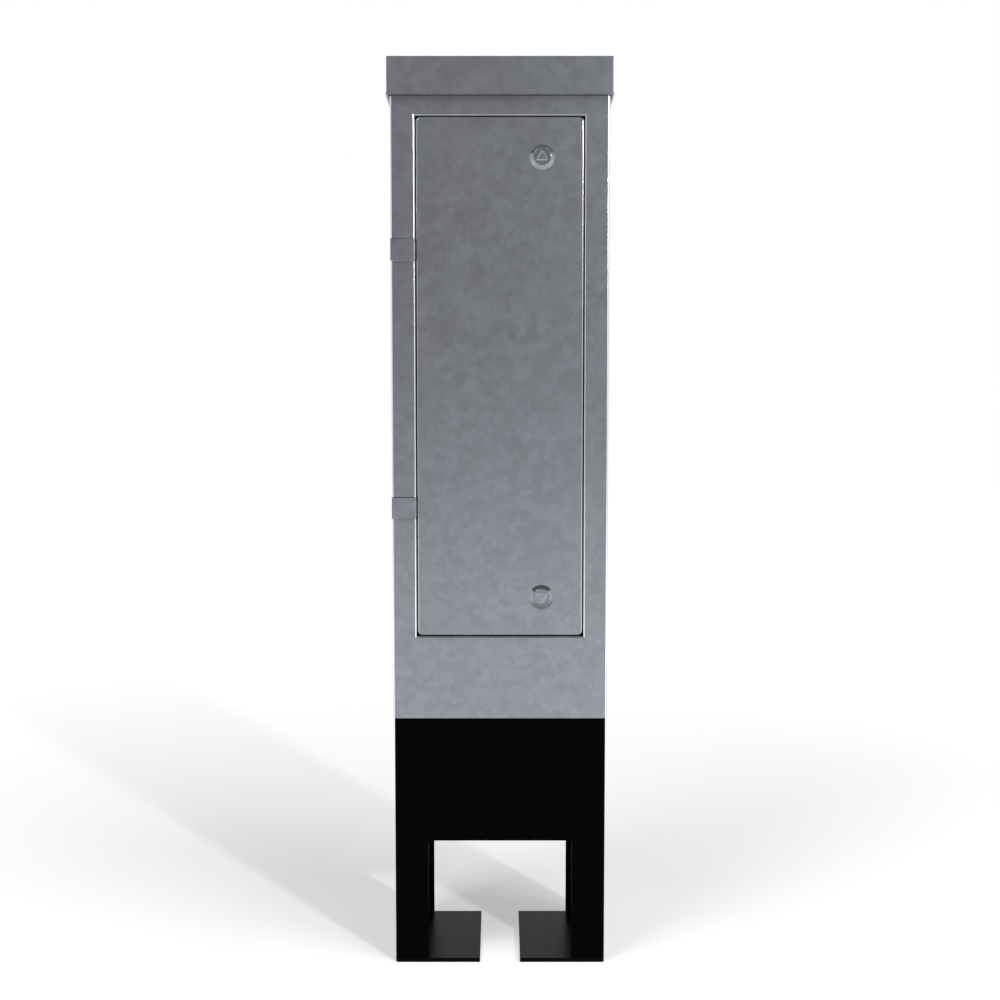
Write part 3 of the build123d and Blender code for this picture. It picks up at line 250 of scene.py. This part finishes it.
class Finish(Tree):
    """A material with one principled shader, patterned in the object's own coordinates."""

    def __init__(self, name):
        self.material = empty_material(name)
        super().__init__(self.material.node_tree)
        self.shader = self.add("ShaderNodeBsdfPrincipled")
        self.show(self.shader.outputs["BSDF"])
        self.place = self.add("ShaderNodeTexCoord").outputs["Object"]

    def shade(self, values):
        """Feeds the shader and gives the finished material."""
        self.fill(self.shader, values)
        return self.material

    def stretched(self, x, y, z):
        """The place with each axis scaled."""
        node = self.add("ShaderNodeVectorMath", operation="MULTIPLY")
        return self.fill(node, {0: self.place, 1: (x, y, z)}).outputs["Vector"]

    def noise(self, scale, detail, roughness=0.5, distortion=0.0, at=None, output="Fac"):
        node = self.add("ShaderNodeTexNoise")
        pattern = {"Scale": scale, "Detail": detail, "Roughness": roughness}
        place = {"Vector": at or self.place, "Distortion": distortion}
        return self.fill(node, {**pattern, **place}).outputs[output]

    def wobbled(self, scale, amount):
        """The place pushed about by noise."""
        push = self.noise(scale, detail=4.0, output="Color")
        node = self.add("ShaderNodeVectorMath", operation="MULTIPLY_ADD")
        return self.fill(node, {0: push, 1: (amount,) * 3, 2: self.place}).outputs["Vector"]

    def cells(self, scale, at):
        """Three random values per Voronoi cell: Red, Green and Blue."""
        node = self.fill(self.add("ShaderNodeTexVoronoi"), {"Vector": at, "Scale": scale})
        split = self.add("ShaderNodeSeparateColor")
        return self.fill(split, {"Color": node.outputs["Color"]}).outputs

    def normal(self):
        """The surface normal in the frame's axes: X, Y and Z."""
        coordinates = self.add("ShaderNodeTexCoord").outputs
        return self.fill(self.add("ShaderNodeSeparateXYZ"), {0: coordinates["Normal"]}).outputs

    def ramp(self, value, stops):
        """Colour ramp; stops are (position, (r, g, b))."""
        node = self.fill(self.add("ShaderNodeValToRGB"), {"Fac": value})
        elements = node.color_ramp.elements
        while len(elements) < len(stops):
            elements.new(position=0.5)
        for element, (position, colour) in zip(elements, stops):
            element.position = position
            element.color = (*colour, 1.0)
        return node.outputs["Color"]

    def two_tone(self, value, dark, light):
        return self.ramp(value, [(DARK_LEVEL, dark), (LIGHT_LEVEL, light)])

    def mix(self, factor, a, b):
        """Colour a where the factor is 0 and colour b where it is 1."""
        node = self.fill(self.add("ShaderNodeMix", data_type="RGBA"), {"Factor": factor})
        colours = [socket for socket in node.inputs if socket.type == "RGBA"]
        for socket, value in zip(colours, (a, b)):
            plain = not isinstance(value, bpy.types.NodeSocket)
            self.feed(socket, (*value, 1.0) if plain else value)
        return [socket for socket in node.outputs if socket.type == "RGBA"][0]

    def bump(self, height, strength, depth, under=None):
        """Surface normal with a relief, laid over another one where it is given."""
        values = {"Height": height, "Strength": strength, "Distance": depth}
        if under is not None:
            values["Normal"] = under
        return self.fill(self.add("ShaderNodeBump"), values).outputs["Normal"]


def empty_material(name):
    material = bpy.data.materials.new(name)
    material.use_nodes = True
    material.node_tree.nodes.clear()
    return material


def galvanised_steel(name, highlight_colour=None, bends_upright=True):
    """Hot-dip zinc: wobbly spangles in two close greys over a faint cloud, satin and a bit rough.

    With a colour for them, the upright bends, or else the level edges, get a painted highlight:
    that lighter colour, full metal and less roughness.
    """
    finish = Finish(name)
    place = finish.wobbled(SPANGLE_WOBBLE_SCALE, SPANGLE_WOBBLE)
    fine = finish.cells(FINE_SPANGLES, place)
    broad = finish.cells(BROAD_SPANGLES, place)
    tone = finish.weighted(
        (finish.remap(fine["Red"], 0.0, 1.0, *FINE_STEP), FINE_SHARE),
        (finish.remap(broad["Red"], 0.0, 1.0, *BROAD_STEP), BROAD_SHARE),
        (fine["Green"], SPECKLE_SHARE),
        (finish.noise(CLOUD_SCALE, detail=4.0, roughness=CLOUD_CONTRAST), CLOUD_SHARE),
    )
    colour = finish.ramp(tone, [(0.0, ZINC_DARK), (1.0, ZINC_LIGHT)])
    grain = finish.noise(GRAIN_SCALE, detail=2.0)
    metallic = ZINC_METALLIC
    roughness = finish.calculate(
        "ADD",
        finish.remap(broad["Blue"], ZINC_ROUGHNESS, ZINC_ROUGHNESS + SPANGLE_ROUGHNESS),
        finish.remap(grain, -GRAIN_ROUGHNESS, GRAIN_ROUGHNESS),
    )
    # Painted highlight on the bends, or else on the level edges
    if highlight_colour:
        normal = finish.normal()
        other = normal["X"] if bends_upright else normal["Z"]
        turned = finish.calculate("ABSOLUTE", finish.calculate("MULTIPLY", normal["Y"], other))
        highlight_share = finish.remap(turned, 0.0, 1.0, HIGHLIGHT_MASK_FROM, HIGHLIGHT_MASK_TO)
        sheet = finish.remap(highlight_share, 1.0, 0.0)
        colour = finish.mix(highlight_share, colour, highlight_colour)
        metallic = finish.remap(highlight_share, ZINC_METALLIC, 1.0)
        roughness = finish.weighted((roughness, sheet), (highlight_share, BEND_ROUGHNESS))
    flow = finish.bump(finish.noise(FLOW_SCALE, detail=3.0), ZINC_RELIEF, FLOW_DEPTH)
    return finish.shade({
        "Base Color": colour,
        "Metallic": metallic,
        "Roughness": roughness,
        "IOR": ZINC_IOR,
        "Normal": finish.bump(grain, ZINC_RELIEF, GRAIN_DEPTH, flow),
    })


def root_black(name, ior):
    """Black protective paint with a faint brushed-on unevenness."""
    finish = Finish(name)
    cloud = finish.noise(ROOT_CLOUD_SCALE, detail=4.0)
    brushing = finish.noise(BRUSH_SCALE, detail=3.0)
    grain = finish.noise(PAINT_GRAIN_SCALE, detail=2.0)
    return finish.shade({
        "Base Color": finish.two_tone(cloud, ROOT_DARK, ROOT_LIGHT),
        "Roughness": finish.remap(brushing, *BRUSH_ROUGHNESS),
        "IOR": ior,
        "Normal": finish.bump(grain, PAINT_RELIEF, PAINT_GRAIN_DEPTH),
    })


def plain_metal(name, dark, light, roughness):
    """Bright hardware with fine tool marks and a slight cast."""
    finish = Finish(name)
    cast = finish.noise(CAST_SCALE, detail=4.0, roughness=CAST_CONTRAST)
    smear = finish.noise(SMEAR_SCALE, detail=2.0)
    marks = finish.noise(TOOL_MARK_SCALE, detail=2.0)
    return finish.shade({
        "Base Color": finish.two_tone(cast, dark, light),
        "Metallic": 1.0,
        "Roughness": finish.remap(smear, roughness - SMEAR_SMOOTHER, roughness + SMEAR_ROUGHER),
        "Normal": finish.bump(marks, TOOL_MARK_RELIEF, TOOL_MARK_DEPTH),
    })


def lock_zinc(name, slant):
    """Die-cast lock: flat faces as dull as the sheet, slanted ones with a plating of their own,
    which on the post is a nearly white painted highlight.
    """
    finish = Finish(name)
    facing = finish.calculate("ABSOLUTE", finish.normal()["Y"])
    slanted = finish.remap(facing, 1.0, 0.0, SLANTED_BELOW, FLAT_ABOVE)
    cloud = finish.noise(LOCK_CLOUD_SCALE, detail=3.0)
    sheet_colour = finish.two_tone(cloud, ZINC_DARK, ZINC_LIGHT)
    plated_colour = finish.two_tone(cloud, slant["dark"], slant["light"])
    grain = finish.noise(LOCK_GRAIN_SCALE, detail=2.0)
    return finish.shade({
        "Base Color": finish.mix(slanted, sheet_colour, plated_colour),
        "Metallic": finish.remap(slanted, ZINC_METALLIC, slant["metallic"]),
        "Roughness": finish.remap(slanted, ZINC_ROUGHNESS, slant["roughness"]),
        "IOR": ZINC_IOR,
        "Normal": finish.bump(grain, LOCK_RELIEF, LOCK_GRAIN_DEPTH),
    })


def moulding(name, dark, light, roughness, texture):
    """Moulded plastic or rubber with a fine spark-eroded texture."""
    finish = Finish(name)
    cloud = finish.noise(MOULDING_CLOUD_SCALE, detail=4.0)
    sheen = finish.noise(MOULDING_SHEEN_SCALE, detail=3.0)
    sparks = finish.noise(texture, detail=2.0)
    return finish.shade({
        "Base Color": finish.two_tone(cloud, dark, light),
        "Roughness": finish.remap(sheen, roughness - MOULDING_SHEEN, roughness + MOULDING_SHEEN),
        "Normal": finish.bump(sparks, MOULDING_RELIEF, MOULDING_DEPTH),
    })


def plywood(name):
    """Varnished plywood with long grain up the board."""
    finish = Finish(name)
    grain_place = finish.stretched(PLY_ACROSS, PLY_ACROSS, PLY_GRAIN_ALONG)
    fibre_place = finish.stretched(PLY_ACROSS, PLY_ACROSS, PLY_FIBRE_ALONG)
    grain = finish.noise(
        PLY_GRAIN_SCALE, detail=6.0, roughness=PLY_CONTRAST, distortion=PLY_SWIRL, at=grain_place
    )
    fibre = finish.noise(PLY_FIBRE_SCALE, detail=3.0, roughness=PLY_CONTRAST, at=fibre_place)
    fibre_share = finish.remap(fibre, 0.0, PLY_FIBRE_SHARE)
    return finish.shade({
        "Base Color": finish.mix(fibre_share, finish.ramp(grain, PLY_COLOURS), PLY_FIBRE_COLOUR),
        "Roughness": finish.remap(fibre, *PLY_ROUGHNESS),
        "Normal": finish.bump(fibre, PLY_RELIEF, PLY_DEPTH),
    })


def slot_finishes():
    """One material for every material slot in the record."""
    finishes = {
        "galvanised_steel": galvanised_steel("galvanised_steel"),
        "root_black": root_black("root_black", ROOT_IOR),
        "lock_zinc": lock_zinc("lock_zinc", LOCK_SLANT),
        "plywood": plywood("plywood"),
    }
    for maker, rows in ((plain_metal, METALS), (moulding, MOULDINGS)):
        for name, values in rows.items():
            finishes[name] = maker(name, *values)
    return finishes


def own_finishes():
    """Materials of the nodes that look different from the rest of their slot."""
    # The strap's level edges and the bends of the body and the door carry a painted highlight
    strap = galvanised_steel("galvanised_strap_painted_highlight", STRAP_EDGE_HIGHLIGHT_COLOUR, bends_upright=False)
    foot = root_black("foot_black", FOOT_IOR)
    post = lock_zinc("lock_post_painted_highlight", POST_SLANT_HIGHLIGHT)
    return {
        "body_wrap": galvanised_steel("galvanised_body_painted_highlight", BODY_BEND_HIGHLIGHT_COLOUR),
        "door_panel": galvanised_steel("galvanised_door_painted_highlight", DOOR_BEND_HIGHLIGHT_COLOUR),
        "hinge_strap_upper": strap,
        "hinge_strap_lower": strap,
        "foot_plate_left": foot,
        "foot_plate_right": foot,
        "lock_spindle_upper": post,
        "lock_spindle_lower": post,
    }


def dress_nodes():
    """Gives every CAD node its own finish, or else the finish of its slot."""
    of_slot = slot_finishes()
    of_node = own_finishes()
    for entry in frame["record"]["subparts"]:
        name = entry["node"]
        materials = frame["nodes"][name].data.materials
        materials.clear()
        materials.append(of_node.get(name) or of_slot[entry["material_slot"]])


def floor_material():
    """White floor that keeps the object's shadow and shows white where nothing shades it."""
    material = empty_material("studio_floor")
    tree = Tree(material.node_tree)
    diffuse = tree.add("ShaderNodeBsdfDiffuse")
    tree.fill(diffuse, {"Color": (FLOOR_TONE, FLOOR_TONE, FLOOR_TONE, 1.0)})
    distance = tree.add("ShaderNodeVectorMath", operation="LENGTH")
    tree.fill(distance, {0: tree.add("ShaderNodeTexCoord").outputs["Object"]})
    level = tree.remap(
        distance.outputs["Value"],
        FLOOR_GLOW_NEAR,
        FLOOR_GLOW_FAR,
        FLOOR_GLOW_FROM,
        FLOOR_GLOW_TO,
    )
    glow = tree.glow(WHITE, tree.calculate("MULTIPLY", tree.seen_directly(), level))
    both = tree.fill(tree.add("ShaderNodeAddShader"), {0: diffuse.outputs[0], 1: glow})
    tree.show(both.outputs[0])
    return material


def flag_material():
    material = empty_material("studio_flag")
    tree = Tree(material.node_tree)
    tree.show(tree.glow(FLAG_COLOUR, FLAG_TONE))
    return material


def plane(name, corners, material):
    mesh = bpy.data.meshes.new(name)
    mesh.from_pydata(corners, [], [(0, 1, 2, 3)])
    mesh.materials.append(material)
    sheet = bpy.data.objects.new(name, mesh)
    bpy.context.scene.collection.objects.link(sheet)
    return sheet


def floor_and_flag():
    half = FLOOR_SIZE / 2
    corners = [(-half, -half, 0), (half, -half, 0), (half, half, 0), (-half, half, 0)]
    plane("floor", corners, floor_material())
    foot = [(FLAG_LEFT, FLAG_FOOT, 0.0), (FLAG_RIGHT, FLAG_FOOT, 0.0)]
    head = [(FLAG_RIGHT, FLAG_HEAD, FLAG_HEIGHT), (FLAG_LEFT, FLAG_HEAD, FLAG_HEIGHT)]
    flag = plane("flag", foot + head, flag_material())
    flag.visible_camera = False
    flag.visible_diffuse = False
    flag.visible_shadow = False


def surroundings():
    """White world with a dark ceiling, which hardly lights the object."""
    world = bpy.data.worlds.new("studio")
    world.use_nodes = True
    bpy.context.scene.world = world
    tree = Tree(world.node_tree)
    place = tree.add("ShaderNodeTexCoord").outputs["Generated"]
    height = tree.fill(tree.add("ShaderNodeSeparateXYZ"), {0: place}).outputs["Z"]
    levels = (math.sin(CEILING_FROM), math.sin(CEILING_TO))
    shown = tree.remap(height, 1.0, CEILING_TONE, *levels, interpolation="SMOOTHSTEP")
    strength = tree.remap(tree.seen_directly(), AMBIENT, shown)
    tree.fill(world.node_tree.nodes["Background"], {"Color": WHITE, "Strength": strength})


def direction(azimuth, elevation):
    """Unit vector towards a lamp in front of the door; azimuth is positive to the right."""
    flat = math.cos(elevation)
    return Vector((math.sin(azimuth) * flat, -math.cos(azimuth) * flat, math.sin(elevation)))


def lamp(name, azimuth, elevation, distance, size, power):
    """Round lamp that faces the foot of the pillar and is hidden from the camera."""
    data = bpy.data.lights.new(name, "AREA")
    data.shape = "DISK"
    data.size = size
    data.energy = power
    lamp_object = bpy.data.objects.new(name, data)
    towards = direction(math.radians(azimuth), math.radians(elevation))
    lamp_object.location = towards * distance
    lamp_object.rotation_euler = towards.to_track_quat("Z", "Y").to_euler()
    lamp_object.visible_camera = False
    lamp_object.visible_glossy = name not in NOT_MIRRORED
    bpy.context.scene.collection.objects.link(lamp_object)


def camera():
    data = bpy.data.cameras.new("camera")
    data.sensor_width = SENSOR_WIDTH
    data.lens = FOCAL_LENGTH
    camera_object = bpy.data.objects.new("camera", data)
    camera_object.location = (0.0, ROOT_FRONT - CAMERA_FROM_FRONT, CAMERA_HEIGHT)
    camera_object.rotation_euler = (math.pi / 2 - CAMERA_PITCH, 0.0, 0.0)
    bpy.context.scene.collection.objects.link(camera_object)
    bpy.context.scene.camera = camera_object
    bpy.context.scene.view_settings.view_transform = "Standard"


camera()
dress_nodes()
floor_and_flag()
surroundings()
for lamp_name, values in LAMPS.items():
    lamp(lamp_name, **values)
